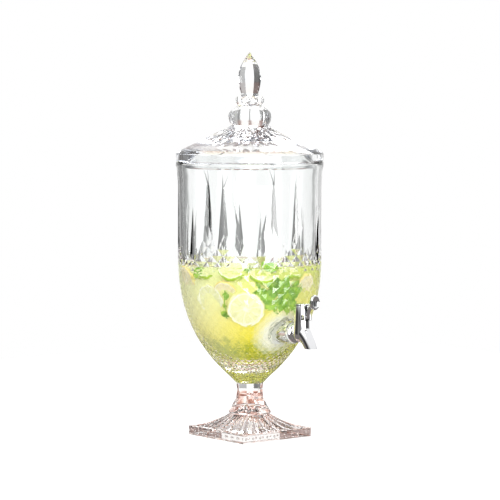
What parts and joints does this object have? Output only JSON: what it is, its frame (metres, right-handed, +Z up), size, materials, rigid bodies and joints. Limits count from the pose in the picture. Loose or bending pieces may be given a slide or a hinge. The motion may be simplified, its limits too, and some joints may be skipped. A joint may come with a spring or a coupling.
{
  "type": "footed cut-glass drink dispenser with tap and lid",
  "caption": "Tall urn-shaped cut-glass drink dispenser on a square fluted foot, with a conical lid, a finial and a sprung lever tap.",
  "frame": {"origin": "centre of the foot's underside, on the bowl's axis", "axes": "+Z up along the bowl's axis, -Y the way the tap points, X and Y along the square foot's sides"},
  "size_m": [0.1694, 0.2016, 0.44],
  "materials": {
    "clear_glass": "polished pressed glass with cut facets",
    "chrome": "bright chrome plating",
    "steel": "turned stainless steel",
    "silicone": "translucent white silicone",
    "white_plastic": "moulded white plastic",
    "dark_rubber": "black nitrile"
  },
  "bodies": {
    "root": {"pedestal": "clear_glass", "bowl": "clear_glass", "tap_body": "chrome", "bonnet_cap": "chrome", "lever_pin": "steel", "stem_guide": "white_plastic", "stem_seal": "dark_rubber", "return_spring": "steel", "outer_washer": "silicone", "inner_washer": "silicone", "shank_nut": "white_plastic"},
    "lid": {"lid": "clear_glass"},
    "lever": {"lever": "chrome"},
    "valve": {"valve_stem": "steel", "seat_plug": "silicone"}
  },
  "joints": [
    {"name": "lid_lift", "type": "slide", "parent": "root", "child": "lid", "axis": [0, 0, 1], "range_m": [0, 0.12]},
    {"name": "lever_press", "type": "hinge", "parent": "root", "child": "lever", "pos_m": [0, -0.1003, 0.1445], "axis": [1, 0, 0], "range_deg": [0, 25], "stiffness_Nm_per_rad": 0.09, "springref_deg": -20.05},
    {"name": "valve_lift", "type": "slide", "parent": "root", "child": "valve", "axis": [0, 0, 1], "range_m": [0, 0.0036], "deforming": ["return_spring"]}
  ],
  "couplings": [
    {"joint": "valve_lift", "follows": "lever_press", "m_per_rad": 0.00793}
  ]
}
